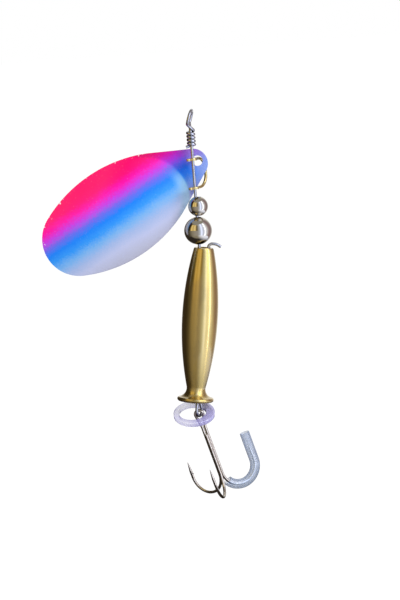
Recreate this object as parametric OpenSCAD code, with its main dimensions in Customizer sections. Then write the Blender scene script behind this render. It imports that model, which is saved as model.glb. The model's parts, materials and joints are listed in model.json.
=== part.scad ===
// Inline spinner: a wire shaft with a wrapped line eye, carrying a clevis with a domed blade, two beads,
// a turned brass body and a treble hook on the lower loop.
// Millimetres. Origin at the centre of the line eye, +Z up along the shaft, the blade's face towards -Y.

/* [Wire shaft] */
// Diameter of the shaft wire
wire_d = 0.65; // [0.55:0.05:0.75]
// Inside width of the line eye
eye_bore = 3.5; // [3:0.1:4.5]
// How far below the eye's centre the shaft starts to open into the eye
eye_neck = 2.9; // [2.7:0.05:3.4]
// Turn of the eye's plane about the shaft, in degrees
eye_turn = 75; // [60:1:90]
// Whole wraps of the tag end under the eye
wraps = 3; // [2:1:5]
// Clear gap between the wraps, and between the wraps and the shaft
wrap_gap = 0.43; // [0.42:0.01:0.6]
// Length of the cut end that stands off the last wrap
stub_len = 1.1; // [0.6:0.1:2]
// Inside bend radius where the shaft opens into the eye
eye_bend = 0.7; // [0.4:0.1:1]

/* [Lower loop] */
// Centre-line radius of the loop that carries the hook
loop_r = 1.3; // [1.2:0.05:1.6]
// How far the loop's centre hangs below the body
loop_drop = 2.35; // [2.1:0.05:3.5]
// Half the spacing of the two wires where they leave the body
leg_half = 0.65; // [0.55:0.05:0.8]
// Turn of the loop's plane about the vertical, in degrees
loop_turn = 60; // [50:1:70]
// How far the tail stands out past the shaft's side of the body, over its top rim
tail_reach = 3.1; // [2:0.1:4]
// Height of the tail's bend above the body's top
tail_rise = 1.4; // [1.2:0.1:2]
// Centre-line radius of the tail's bend
tail_bend = 1.1; // [0.8:0.1:1.3]

/* [Clevis] */
// Diameter of the clevis wire
clevis_d = 0.75; // [0.6:0.05:0.8]
// Clear gap between the clevis's lower leg and the blade's edge
leg_gap = 0.3; // [0.2:0.02:1]
// Distance from the shaft to the middle of the bow
clevis_reach = 5.5; // [5.2:0.1:6.5]
// Bend radius at the bow's two corners
bow_r = 3; // [2:0.1:3.2]
// Direction of the bow, in degrees to the right of straight back
clevis_turn = 33; // [31:1:38]
// Thickness of the flattened ears
ear_t = 0.6; // [0.5:0.05:0.75]
// Width of the flattened ears
ear_w = 2.1; // [1.8:0.1:2.4]
// How far each ear reaches past the shaft
ear_nose = 2.5; // [1.6:0.1:3]
// Play along the shaft between the wraps and the upper ear
clevis_play = 2.3; // [1.5:0.05:5]

/* [Blade] */
// Length of the blade
blade_len = 47; // [42:0.2:54]
// Greatest width of the blade
blade_w = 23.5; // [21.5:0.1:25]
// Distance from the tab end to the widest place
blade_belly = 26.7; // [25.5:0.1:28]
// Thickness of the sheet
blade_t = 0.55; // [0.4:0.05:0.6]
// Radius of the round tip
tip_r = 9.2; // [8.5:0.1:10]
// Radius of the round tab end
tab_r = 3.7; // [3.4:0.1:4]
// Slope of the tab's straight flanks against the blade's length, in degrees
flank = 27.6; // [26:0.1:30]
// Diameter of the hole for the clevis
hole_d = 2.6; // [2.5:0.05:2.8]
// Distance from the tab end to the hole's centre
hole_inset = 2.4; // [2.1:0.1:2.6]
// Height of the pressed dome over the flat tab
crown = 3.5; // [3:0.1:4.2]
// Distance from the tab end to the crease where the dome starts
crease = 8; // [7:0.1:9]
// Radius of the dome across the blade
dome_r = 29.75; // [27:0.25:36]
// Distance from the tab end to the top of the dome
dome_apex = 29.3; // [28:0.1:31]
// Distance from the shaft back to the middle of the tab's sheet
blade_back = 2.4; // [2.35:0.05:2.6]
// Slope of the blade below the horizontal, in degrees
blade_dip = 29.1; // [24:0.1:30]

/* [Beads] */
// Diameter of the upper bead
small_bead_d = 5; // [4:0.1:6]
// Diameter of the lower bead
large_bead_d = 7; // [6:0.1:8]
// Diameter of the holes through the beads
bead_bore = 1.7; // [1.5:0.1:2]
// Play along the shaft between the lower ear and the upper bead
bead_play = 1.8; // [1:0.05:4]

/* [Body] */
// Greatest diameter of the barrel
body_d = 9; // [8:0.1:11]
// Diameter at the body's top and neck
body_end_d = 4.9; // [4.7:0.1:5.6]
// Length of the barrel from the top to the neck
barrel_len = 35; // [28:0.5:45]
// Diameter of the flared foot
foot_d = 9.2; // [8.6:0.1:11]
// Radius of the hollow flare above the foot
flare_r = 2.2; // [2:0.1:2.6]
// Radius of the foot's round lip
lip_r = 0.55; // [0.4:0.05:0.7]
// Diameter of the bore
bore_d = 3.5; // [3.3:0.05:3.7]
// Lean of the body to the right, in degrees
body_lean = 7.5; // [6:0.1:8]
// Play along the shaft between the lower bead and the body
body_play = 0.7; // [0.5:0.1:2]

/* [Treble hook] */
// Diameter of the hook wire
hook_d = 0.75; // [0.65:0.05:0.8]
// Inside width of the hook's eye
hook_eye_bore = 1.25; // [1.2:0.05:1.4]
// Distance from the loop's wire down to the bottom of the bends
hook_drop = 20.8; // [18:0.1:25]
// Distance from each shank to its point
hook_gap = 9.1; // [8:0.1:10]
// Height of the points above the bottom of the bends
point_rise = 9.2; // [8.4:0.1:11]
// Length of each tapered point
point_len = 2.6; // [2:0.1:3]
// How far each barb stands off the wire
barb_h = 0.4; // [0.3:0.05:0.6]
// Distance from the loop's wire down to where the eye's wires meet
eye_close = 3; // [2.8:0.1:4]
// Distance from there down to the top of the brazed third hook
third_start = 2; // [1:0.1:4]
// Length of the brazed seam along the shank
braze_len = 7.5; // [5:0.1:8]
// Lean of the shank to the right, in degrees
hook_lean = 15.5; // [10:0.5:18]
// Lean of the shank's lower end to the back, in degrees
hook_back = 4.5; // [0:0.5:8]
// Turn of the hook about its shank, in degrees
hook_roll = -11; // [-20:1:0]

/* [Vinyl pieces] */
// Outside diameter of the ring round the hook's eye
ring_od = 10.4; // [9.6:0.1:12]
// Inside diameter of the ring
ring_id = 6.8; // [6.4:0.1:7.4]
// Thickness of the ring
ring_t = 1.2; // [0.8:0.1:1.4]
// Offset of the ring's hole, which leaves one wall thicker
ring_offset = 0.4; // [0.2:0.05:0.8]
// Height of the ring above the middle of the hook's eye
ring_lift = 0.2; // [0.2:0.05:0.5]
// Tip of the ring towards the front, in degrees
ring_tip = 25; // [20:1:30]
// Outside diameter of the point's tube
tube_od = 2.5; // [2.2:0.1:2.8]
// Inside diameter of the point's tube
tube_id = 1.7; // [1.65:0.05:1.8]
// How far the tube reaches past the point
tube_past = 2.3; // [1:0.1:5]
// Where the tube starts on the bend, in degrees from the shank
tube_start = 32; // [25:1:60]

/* [Hidden] */

// Radial clearance of a piece that runs on the shaft
running_gap = 0.08;
// Room between two pieces that lie loosely together
loose_gap = 0.15;
// Hair gap between the wires of the hook's shank
shank_gap = 0.01;
// Lean of the line from the clevis wire to the middle of the hole that hangs on it, in degrees
HANG_SIDE = 34;
// Sides of a bent wire, and the turn from one of its rings to the next
WIRE_SIDES = 10;
BEND_STEP = 15;
// Facets round small and large turned faces
wire_fn = 24;
turned_fn = 96;
// Length that runs a cut clear of its piece
past = 1;
// How far the blade's straight flanks lie inside its arcs, and how far short of the tip's arc the sides end
JOIN_HAIR = 0.02;
JOIN_STEP = 0.6;
// How much thinner a bent end is than the round shaft that it runs into
SEAT_HAIR = 0.004;

// Wire wraps: six corners a turn, each rounded to the middle of its edges
wire_r = wire_d / 2;
wrap_corners = 6 * wraps + 3;
wrap_r = wire_d + wrap_gap;
wrap_corner_r = wrap_r / cos(30);
wrap_pitch = wrap_r * 1.045;
wrap_top = -eye_neck - wire_r;
wrap_edge = norm([wrap_corner_r, wrap_pitch / 6]);
wrap_turn = corner_turn(wrap_corner(0), wrap_corner(1), wrap_corner(2));
wrap_fillet = wrap_edge / 2 / tan(wrap_turn / 2);
wrap_end_z = wrap_top - wrap_pitch * (wrap_corners - 1) / 6;

// Line eye
eye_r = eye_bore / 2 + wire_r;
eye_open = 90 - acos(eye_r / eye_neck);
EYE_ARCS = 4;

// Blade: rear side arcs that meet the tip circle, and front side arcs that meet the tab's straight flanks, all
// without a corner
blade_half = blade_w / 2;
tip_c = blade_len - tip_r;
side_r = (pow(tip_c - blade_belly, 2) + pow(blade_half, 2) - pow(tip_r, 2)) / (blade_w - 2 * tip_r);
side_drop = side_r - blade_half;
tip_join = blade_belly + side_r * (tip_c - blade_belly) / (side_r - tip_r) - JOIN_STEP;
front_r = (tab_r + (blade_belly - tab_r) * sin(flank) - blade_half * cos(flank)) / (1 - cos(flank));
front_drop = front_r - blade_half;
flank_tab = [tab_r, 0] + (tab_r - JOIN_HAIR) * [-sin(flank), cos(flank)];
flank_side = [blade_belly, -front_drop] + (front_r - JOIN_HAIR) * [-sin(flank), cos(flank)];
dome_long_r = (pow(dome_apex - crease, 2) + pow(crown, 2)) / (2 * crown);
clevis_z = wrap_end_z - wire_d - clevis_play - ear_t / 2;
leg_x = blade_back * tan(clevis_turn);
hole_slack = (hole_d - clevis_d) / 2 - 1.5 * loose_gap;
hole_at = [leg_x - hole_slack * sin(HANG_SIDE), blade_back,
           clevis_z - hole_slack * cos(HANG_SIDE)];

// Clevis: its lower leg passes just outside the blade's lower flank
edge_dip = flank + blade_dip;
edge_out = [sin(edge_dip), -cos(edge_dip)];
edge_at = [hole_at.x - (flank_tab.x - hole_inset) * cos(blade_dip) + flank_tab.y * sin(blade_dip),
           hole_at.z - (flank_tab.x - hole_inset) * sin(blade_dip) - flank_tab.y * cos(blade_dip)];
leg_reach = blade_t / 2 * tan(clevis_turn) * edge_out.x
    + clevis_d / 2 * norm([edge_out.x / cos(clevis_turn), edge_out.y]);
lower_ear_z = edge_at.y - (leg_reach + leg_gap - edge_out.x * (leg_x - edge_at.x)) / cos(edge_dip);
clevis_span = clevis_z - lower_ear_z;

// Stack along the shaft below the clevis
small_bead_z = lower_ear_z - ear_t / 2 - bead_play - small_bead_d / 2;
large_bead_z = small_bead_z - (small_bead_d + large_bead_d) / 2 - running_gap;
small_bead_x = (bead_bore - wire_d) / 2 - running_gap;
entry_z = large_bead_z - large_bead_d / 2 - body_play;

// Body: a barrel arc, a hollow flare tangent to it and a round lip tangent to the flare
barrel_sag = (body_d - body_end_d) / 2;
barrel_r = (pow(barrel_len / 2, 2) + pow(barrel_sag, 2)) / (2 * barrel_sag);
barrel_c = [body_d / 2 - barrel_r, -barrel_len / 2];
neck = [body_end_d / 2, -barrel_len];
flare_c = barrel_c + (barrel_r + flare_r) * unit(neck - barrel_c);
lip_x = foot_d / 2 - lip_r;
lip_c = [lip_x, flare_c.y - sqrt(pow(flare_r + lip_r, 2) - pow(flare_c.x - lip_x, 2))];
body_len = lip_r - lip_c.y;
bore_side = (bore_d - wire_d) / 2 - 2 * loose_gap;
body_top = [bore_side * cos(body_lean), 0, entry_z - bore_side * sin(body_lean)];

// Lower loop
loop_dir = [cos(loop_turn), sin(loop_turn), 0];
legs_mid = body_point([bore_side - leg_half * cos(loop_turn), 0, -body_len]);
loop_c = legs_mid - [0, 0, loop_drop];
loop_tangent = atan2(loop_drop, leg_half) - acos(loop_r / norm([leg_half, loop_drop]));
LOOP_ARCS = 4;
pivot = loop_c - [0, 0, loop_r];

// Hook, in its own frame: the loop's wire at the origin and the shank down along -Z
hook_r = hook_d / 2;
tip_end_r = hook_r / 10;
hook_eye_r = hook_eye_bore / 2 + hook_r;
hook_eye_z = hook_r;
pair_x = hook_r + shank_gap;
third_y = -sqrt(3) * pair_x - shank_gap;
bend_r = hook_gap / 2;
bend_low = hook_r - hook_drop;
bend_top = bend_low + bend_r;
point_base = point_rise - hook_drop - point_len;
hook_eye_reach = eye_close + hook_eye_z;
hook_eye_tangent = acos(hook_eye_r / norm([pair_x, hook_eye_reach])) - atan2(hook_eye_reach, pair_x);
HOOK_EYE_ARCS = 4;
RIGHT_PRONG = 30;
LEFT_PRONG = 150;
THIRD_PRONG = 270;

// Ring: its thick wall lies just outside the hook's eye
ring_wall_x = pivot.x + hook_eye_r + hook_r + 3 * loose_gap - ring_t * sin(ring_tip) * sin(hook_lean);
ring_hole = [ring_wall_x - ring_id / 2, 0, pivot.z + hook_eye_z + ring_lift];

function unit(v) = v / norm(v);
function lean_about_y(p, a) = [p.x * cos(a) + p.z * sin(a), p.y, p.z * cos(a) - p.x * sin(a)];
function body_point(p) = body_top + lean_about_y(p, body_lean);
function turn_about_z(p, a) = [p.x * cos(a) - p.y * sin(a), p.x * sin(a) + p.y * cos(a), p.z];
// Corners of the straight-sided line that wraps a circle of radius r, from tangent angle a to b
function loop_corners(r, a, b, n) = [
    for (i = [0 : n - 1]) let (step = (b - a) / n, at = a + step * (i + 0.5))
        r / cos(step / 2) * [cos(at), sin(at)]
];
// Angle through which a bent wire turns at corner b
function corner_turn(a, b, c) = acos(max(-1, min(1, unit(b - a) * unit(c - b))));
function wrap_corner(i) =
    [wrap_corner_r * cos(60 * i - 120), wrap_corner_r * sin(60 * i - 120), wrap_top - wrap_pitch * i / 6];
// Each corner of a wire's route is [point, centre-line bend radius]

// Points along one bend of a wire's route, from where it leaves one straight run to where it joins the next
function bend_points(a, b, c, bend) =
    let (u = unit(b - a), v = unit(c - b), turn = corner_turn(a, b, c), steps = max(1, round(turn / BEND_STEP)))
    turn < 0.1 ? [b] : let (inward = unit(v - (u * v) * u), start = b - bend * tan(turn / 2) * u) [
        for (i = [0 : steps]) let (at = turn * i / steps)
            start + bend * (sin(at) * u + (1 - cos(at)) * inward)
    ];
function route_points(route) = let (last = len(route) - 1, all = concat(
        [route[0][0]],
        [for (i = [1 : last - 1]) each bend_points(route[i - 1][0], route[i][0], route[i + 1][0], route[i][1])],
        [route[last][0]]
    )) [for (i = [0 : len(all) - 1]) if (i == 0 || norm(all[i] - all[i - 1]) > 0.001) all[i]];

// One closed tube along points, with a radius for each; its rings turn only as the wire bends
module swept_wire(points, radii) {
    last = len(points) - 1;
    along = [for (i = [0 : last]) unit(points[min(i + 1, last)] - points[max(i - 1, 0)])];
    first = unit(abs(along[0].z) < 0.9 ? cross([0, 0, 1], along[0]) : cross([0, 1, 0], along[0]));
    sides = [for (i = 0, n = first; i <= last; i = i + 1,
        n = i <= last ? unit(n - (n * along[i]) * along[i]) : n) n];
    rings = [for (i = [0 : last]) for (k = [0 : WIRE_SIDES - 1]) let (at = 360 * k / WIRE_SIDES)
        points[i] + radii[i] * (cos(at) * sides[i] + sin(at) * cross(along[i], sides[i]))];
    walls = [for (i = [0 : last - 1]) for (k = [0 : WIRE_SIDES - 1]) let (j = (k + 1) % WIRE_SIDES,
        a = i * WIRE_SIDES, b = a + WIRE_SIDES) each [[a + k, b + k, b + j], [a + k, b + j, a + j]]];
    ends = [for (k = [1 : WIRE_SIDES - 2]) each [[0, k, k + 1],
        [last * WIRE_SIDES, last * WIRE_SIDES + k + 1, last * WIRE_SIDES + k]]];
    polyhedron(rings, concat(walls, ends));
}

// A wire of one radius bent along a route of [point, bend radius] corners
module bent_wire(route, r) {
    points = route_points(route);
    swept_wire(points, [for (p = points) r]);
}

// Route of the shaft wire, from the cut end of the wraps to the end of the tail
stub_from = wrap_corner(wrap_corners - 1);
stub_step = unit(wrap_corner(wrap_corners) - stub_from);
wraps_route = concat(
    [[stub_from + (wrap_edge / 2 + stub_len) * stub_step, 0]],
    [for (i = [wrap_corners - 1 : -1 : 0]) [wrap_corner(i), wrap_fillet]]
);
eye_route = concat(
    [for (p = loop_corners(eye_r, 180 + eye_open, -eye_open, EYE_ARCS)) [[p.x, 0, p.y], eye_r]],
    [[[0, 0, -eye_neck], eye_bend + wire_r]]
);
leg_bend = 2 * loop_r;
loop_route = [
    for (p = loop_corners(loop_r, 180 - loop_tangent, 360 + loop_tangent, LOOP_ARCS))
        [loop_c + p.x * loop_dir + [0, 0, p.y], loop_r]
];
tail_corner = body_point([bore_side, 0, tail_rise]);
tail_end = body_point([bore_side + tail_reach, 0, wire_r + 2 * loose_gap]);
shaft_high = -eye_neck - wire_d;
shaft_low = entry_z + wire_d;
upper_route = concat(
    [for (c = concat(wraps_route, eye_route)) [turn_about_z(c[0], eye_turn), c[1]]],
    [[[0, 0, shaft_high - wire_d], 0]]
);
lower_route = concat(
    [[[0, 0, shaft_low + wire_d], 0], [[0, 0, entry_z], 2 * bore_d], [legs_mid - leg_half * loop_dir, leg_bend]],
    loop_route,
    [[legs_mid + leg_half * loop_dir, leg_bend], [tail_corner, tail_bend], [tail_end, 0]]
);

// Least gap of the wrapped wire to itself and to the shaft inside it, measured on points along the wraps
WRAP_STEPS = 8;
wrap_points = [
    for (i = [0 : WRAP_STEPS * (wrap_corners - 2)]) let (k = floor(i / WRAP_STEPS), f = i / WRAP_STEPS - k,
        a = (wrap_corner(k) + wrap_corner(k + 1)) / 2, b = wrap_corner(k + 1),
        c = (wrap_corner(k + 1) + wrap_corner(k + 2)) / 2, g = f * wrap_turn,
        u = unit(b - a), w = unit((c - b) - ((c - b) * u) * u))
        a + wrap_fillet * (sin(g) * u + (1 - cos(g)) * w)
];
half_turn = 3 * WRAP_STEPS;
turn_gap = min([for (i = [0 : len(wrap_points) - 1]) for (j = [i + half_turn : 1 : len(wrap_points) - 1])
    norm(wrap_points[i] - wrap_points[j])]) - wire_d;
shaft_gap = min([for (p = wrap_points) norm([p.x, p.y])]) - wire_d;
echo(str("Least gap of the wrapped wire to itself: ", min(turn_gap, shaft_gap), " mm"));

module wire_shaft() {
    color("silver") {
        bent_wire(upper_route, wire_r - SEAT_HAIR);
        translate([0, 0, shaft_low]) cylinder(h = shaft_high - shaft_low, r = wire_r, $fn = turned_fn);
        bent_wire(lower_route, wire_r - SEAT_HAIR);
    }
}

// One flattened ear with its hole on the shaft
module clevis_ear() {
    difference() {
        union() {
            cylinder(h = ear_t, d = ear_w, center = true, $fn = turned_fn);
            translate([-ear_nose + ear_w / 4, -ear_w / 4, -ear_t / 2]) cube([ear_nose, ear_w / 2, ear_t]);
            translate([-ear_nose + ear_w / 4, 0]) cylinder(h = ear_t, d = ear_w / 2, center = true, $fn = turned_fn);
        }
        cylinder(h = ear_t + past, r = wire_r + running_gap, center = true, $fn = turned_fn);
    }
}

module clevis() {
    root = ear_w / 2 - loose_gap;
    bow_route = [[[root, 0, 0], 0], [[clevis_reach, 0, 0], bow_r],
                 [[clevis_reach, 0, -clevis_span], bow_r], [[root, 0, -clevis_span], 0]];
    color("gold") translate([0, 0, clevis_z]) rotate([0, 0, 90 - clevis_turn]) {
        clevis_ear();
        translate([0, 0, -clevis_span]) clevis_ear();
        bent_wire(bow_route, clevis_d / 2);
    }
}

// Upright block of the blade's outline, with the tab's end at the origin and the tip along +X
module blade_block(h) {
    translate([tab_r, 0]) cylinder(h = h, r = tab_r, $fn = turned_fn);
    linear_extrude(h)
        polygon([flank_tab, flank_side, [flank_side.x, -flank_side.y], [flank_tab.x, -flank_tab.y]]);
    intersection() {
        translate([blade_belly, -front_drop]) cylinder(h = h, r = front_r, $fn = 2 * turned_fn);
        translate([blade_belly, front_drop]) cylinder(h = h, r = front_r, $fn = 2 * turned_fn);
        translate([tab_r, -blade_w]) cube([blade_belly - tab_r, 2 * blade_w, h]);
    }
    intersection() {
        translate([blade_belly, -side_drop]) cylinder(h = h, r = side_r, $fn = 2 * turned_fn);
        translate([blade_belly, side_drop]) cylinder(h = h, r = side_r, $fn = 2 * turned_fn);
        translate([blade_belly, -blade_w]) cube([tip_join - blade_belly, 2 * blade_w, h]);
    }
    translate([blade_belly - JOIN_STEP, JOIN_STEP - blade_half])
        cube([2 * JOIN_STEP, blade_w - 2 * JOIN_STEP, h]);
    translate([tip_c, 0]) cylinder(h = h, r = tip_r, $fn = turned_fn);
}

// Solid below one face of the blade: the tab's plane and the dome, both raised by rise
module under_face(rise) {
    translate([-past, -blade_w, -2 * crown]) cube([blade_len + 2 * past, 2 * blade_w, 2 * crown + rise]);
    translate([dome_apex, 0, crown - dome_long_r]) rotate([90, 0, 0]) rotate_extrude($fn = 4 * turned_fn)
        intersection() {
            translate([dome_long_r - dome_r, 0]) circle(dome_r + rise, $fn = 2 * turned_fn);
            translate([dome_long_r - 2 * crown, -blade_w]) square([3 * crown, 2 * blade_w]);
        }
}

module blade() {
    color("hotpink") translate(hole_at) rotate([0, 180 - blade_dip, 0]) rotate([90, 0, 0])
        translate([-hole_inset, 0, 0]) difference() {
            intersection() {
                translate([0, 0, -blade_t]) blade_block(crown + 2 * blade_t);
                difference() {
                    under_face(blade_t / 2);
                    under_face(-blade_t / 2);
                }
            }
            translate([hole_inset, 0, -blade_t]) cylinder(h = 2 * blade_t, d = hole_d, $fn = turned_fn);
        }
}

module bead(d) {
    difference() {
        sphere(d = d, $fn = turned_fn);
        cylinder(h = d + past, d = bead_bore, center = true, $fn = turned_fn);
    }
}

module small_bead() {
    color("gainsboro") translate([small_bead_x, 0, small_bead_z]) bead(small_bead_d);
}

module large_bead() {
    color("gainsboro") translate([0, 0, large_bead_z]) bead(large_bead_d);
}

// Half section of the body: x is the radius and y runs down from the top
module body_section() {
    intersection() {
        translate(barrel_c) circle(barrel_r, $fn = 4 * turned_fn);
        translate([0, -barrel_len]) square([body_d, barrel_len]);
    }
    difference() {
        translate([0, -body_len]) square([lip_x, body_len - barrel_len]);
        translate(flare_c) circle(flare_r, $fn = turned_fn);
    }
    translate(lip_c) circle(lip_r, $fn = wire_fn);
}

module body() {
    color("goldenrod") translate(body_top) rotate([0, body_lean, 0]) difference() {
        rotate_extrude($fn = turned_fn) body_section();
        translate([0, 0, -body_len - past]) cylinder(h = body_len + 2 * past, d = bore_d, $fn = turned_fn);
    }
}

module hook_ring() {
    color("lavender", 0.6) translate(ring_hole) rotate([ring_tip, 0, 0])
        difference() {
            translate([ring_offset, 0, 0]) cylinder(h = ring_t, d = ring_od, center = true, $fn = turned_fn);
            cylinder(h = ring_t + past, d = ring_id, center = true, $fn = turned_fn);
        }
}

// Places a piece of the hook, which hangs on the lower loop
module on_hook() {
    translate(pivot) rotate([hook_back, -hook_lean, 0]) rotate([0, 0, hook_roll]) children();
}

// Barb on the inner side of a prong whose shank stands at the origin
module barb(prong) {
    rotate([0, 0, prong]) translate([hook_gap, hook_r / 3, point_base]) rotate([90, 0, 0])
        linear_extrude(2 * hook_r / 3)
            polygon([[0, point_len / 4], [0, -point_len / 3], [-hook_r - barb_h, -point_len / 4]]);
}

// Corners of one prong, from the tip of its point down round the bend to the shank
function prong_route(shank, prong) = let (out = shank + hook_gap * [cos(prong), sin(prong), 0]) [
    [out + [0, 0, point_base + point_len], 0], [out + [0, 0, point_base], 0],
    [out + [0, 0, bend_low], bend_r], [shank + [0, 0, bend_low], bend_r]
];
function reversed(list) = [for (i = [len(list) - 1 : -1 : 0]) list[i]];

module treble_double() {
    left = [-pair_x, 0, 0];
    right = [pair_x, 0, 0];
    eye = [
        for (p = loop_corners(hook_eye_r, 180 - hook_eye_tangent, hook_eye_tangent, HOOK_EYE_ARCS))
            [[p.x, 0, hook_eye_z + p.y], hook_eye_r]
    ];
    points = route_points(concat(
        prong_route(left, LEFT_PRONG),
        [[left - [0, 0, eye_close], 3 * hook_eye_r]], eye, [[right - [0, 0, eye_close], 3 * hook_eye_r]],
        reversed(prong_route(right, RIGHT_PRONG))
    ));
    color("silver") on_hook() {
        swept_wire(points, [for (i = [1 : len(points)]) i == 1 || i == len(points) ? tip_end_r : hook_r]);
        translate(left) barb(LEFT_PRONG);
        translate(right) barb(RIGHT_PRONG);
    }
}

module treble_third() {
    shank = [0, third_y, 0];
    points = route_points(concat(prong_route(shank, THIRD_PRONG), [[shank - [0, 0, eye_close + third_start], 0]]));
    color("silver") on_hook() {
        swept_wire(points, [for (i = [1 : len(points)]) i == 1 ? tip_end_r : hook_r]);
        translate(shank) barb(THIRD_PRONG);
    }
}

// Brazing metal in the grooves between the three shank wires
module shank_braze() {
    top = -eye_close - third_start;
    color("darkkhaki") on_hook() difference() {
        translate([0, third_y / 3, top - braze_len]) cylinder(h = braze_len, r = 1.5 * hook_r, $fn = turned_fn);
        for (at = [[-pair_x, 0], [pair_x, 0], [0, third_y]])
            translate([at.x, at.y, top - braze_len - past])
                cylinder(h = braze_len + 2 * past, r = hook_r + shank_gap / 2, $fn = wire_fn);
    }
}

// Section of the point's tube
module tube_section() {
    difference() {
        circle(d = tube_od, $fn = wire_fn);
        circle(d = tube_id, $fn = wire_fn);
    }
}

module hook_tube() {
    straight = point_base + point_len + tube_past - bend_top;
    color("lightsteelblue", 0.6) on_hook() translate([pair_x, 0, bend_top]) rotate([0, 0, RIGHT_PRONG]) {
        translate([hook_gap, 0, 0]) linear_extrude(straight) tube_section();
        translate([bend_r, 0, 0]) rotate([90, 0, 0]) rotate_extrude(angle = tube_start - 180, $fn = turned_fn)
            translate([bend_r, 0]) tube_section();
    }
}

wire_shaft();
clevis();
blade();
small_bead();
large_bead();
body();
hook_ring();
treble_double();
treble_third();
shank_braze();
hook_tube();
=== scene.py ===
"""Dresses the solids of an inline spinner: wire, clevis, painted blade, beads, turned body and treble hook."""

import json
import math

import bpy
from bpy.props import FloatProperty, FloatVectorProperty, IntProperty, PointerProperty
from mathutils import Matrix, Vector


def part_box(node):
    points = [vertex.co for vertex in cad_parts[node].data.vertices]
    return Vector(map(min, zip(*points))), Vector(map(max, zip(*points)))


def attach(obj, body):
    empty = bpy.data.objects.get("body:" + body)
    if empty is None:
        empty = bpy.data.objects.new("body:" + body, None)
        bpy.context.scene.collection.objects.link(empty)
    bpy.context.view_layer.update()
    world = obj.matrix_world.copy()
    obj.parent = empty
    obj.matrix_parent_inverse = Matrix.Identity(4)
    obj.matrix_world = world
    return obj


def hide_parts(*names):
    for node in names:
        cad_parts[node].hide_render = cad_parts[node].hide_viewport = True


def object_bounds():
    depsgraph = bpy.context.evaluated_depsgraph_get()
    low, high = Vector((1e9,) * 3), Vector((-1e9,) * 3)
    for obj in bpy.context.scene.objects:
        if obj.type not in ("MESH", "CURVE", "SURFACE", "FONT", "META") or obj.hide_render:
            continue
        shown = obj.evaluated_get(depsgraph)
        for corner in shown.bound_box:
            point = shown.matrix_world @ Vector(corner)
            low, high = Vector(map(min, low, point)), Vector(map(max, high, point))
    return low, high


bl_info = {
    "name": "Inline Spinner",
    "version": (1, 0, 0),
    "blender": (4, 5, 0),
    "location": "View3D > Sidebar > Spinner",
    "description": "Builds the finished pieces of an inline spinner round its solids",
    "category": "Object",
}

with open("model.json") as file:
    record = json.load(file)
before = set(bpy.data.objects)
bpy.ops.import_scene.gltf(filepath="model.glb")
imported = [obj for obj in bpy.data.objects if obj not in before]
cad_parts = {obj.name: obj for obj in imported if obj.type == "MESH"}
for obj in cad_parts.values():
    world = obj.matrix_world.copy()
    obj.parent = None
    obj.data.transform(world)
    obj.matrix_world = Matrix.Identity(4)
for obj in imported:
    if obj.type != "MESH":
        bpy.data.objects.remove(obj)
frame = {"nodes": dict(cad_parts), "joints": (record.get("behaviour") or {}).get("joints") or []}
SOLIDS_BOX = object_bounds()
JOINTS = {joint["name"]: joint for joint in frame["joints"]}
MM = 0.001


def joint_at(name):
    """Place of a joint, in millimetres."""
    return Vector(JOINTS[name]["pos_m"]) / MM


def joint_axis(name):
    """Direction of a joint's axis."""
    return Vector(JOINTS[name]["axis"]).normalized()


def srgb(red, green, blue):
    """A colour written as 0 to 255 screen values, as a linear colour."""
    return tuple(((c / 255 + 0.055) / 1.055) ** 2.4 if c > 10 else c / 255 / 12.92
                 for c in (red, green, blue))


def length(name, description, default, low=0.0):
    """A size in millimetres, kept in metres."""
    return FloatProperty(name=name, description=description, default=default * MM, min=low * MM,
                         subtype="DISTANCE", unit="LENGTH", precision=6)


def angle(name, description, default):
    """An angle in degrees, kept in radians."""
    return FloatProperty(name=name, description=description, default=math.radians(default),
                         subtype="ANGLE", unit="ROTATION")


def colour(name, description, red, green, blue):
    """A colour that the user may change, given as screen values."""
    return FloatVectorProperty(name=name, description=description, default=srgb(red, green, blue),
                               subtype="COLOR", min=0.0, max=1.0)


class SpinnerSizes(bpy.types.PropertyGroup):
    """Sizes of the finished pieces."""

    wire: length("Wire", "Diameter of the shaft wire", 0.76, 0.3)
    eye: length("Line eye", "Centre-line radius of the line eye", 2.075, 1)
    eye_turn: angle("Eye turn", "Turn of the line eye's plane about the shaft", 81)
    eye_lean: angle("Eye lean", "Lean of the line eye out of its plane", 18)
    wrap_turns: FloatProperty(name="Wraps", description="Turns of the tag end under the eye",
                              default=13 / 3, min=1)
    wrap_pitch: length("Wrap pitch", "Height of one turn of the tag end", 0.85, 0.66)
    loop: length("Lower loop", "Centre-line radius of the loop for the hook", 1.3, 1)
    clevis_wire: length("Clevis wire", "Diameter of the clevis wire", 0.75, 0.3)
    ear: length("Ear", "Thickness of the flattened clevis ears", 0.6, 0.2)
    blade_long: length("Blade length", "Length of the blade", 47, 30)
    blade_wide: length("Blade width", "Greatest width of the blade", 23.5, 15)
    blade_sheet: length("Blade sheet", "Thickness of the blade", 0.5, 0.2)
    crown: length("Crown", "Height of the pressed dome over the tab", 3.5, 1)
    hook_wire: length("Hook wire", "Diameter of the hook wire", 0.75, 0.3)
    hook_gap: length("Hook gap", "Distance from a shank to its point", 9.1, 4)
    ring: length("Ring", "Outside diameter of the vinyl ring", 10.4, 4)
    tube: length("Tube", "Outside diameter of the vinyl tube", 2.5, 1)
    turned_steps: IntProperty(name="Turned steps", description="Steps round a turned piece",
                              default=128, min=24)


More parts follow.
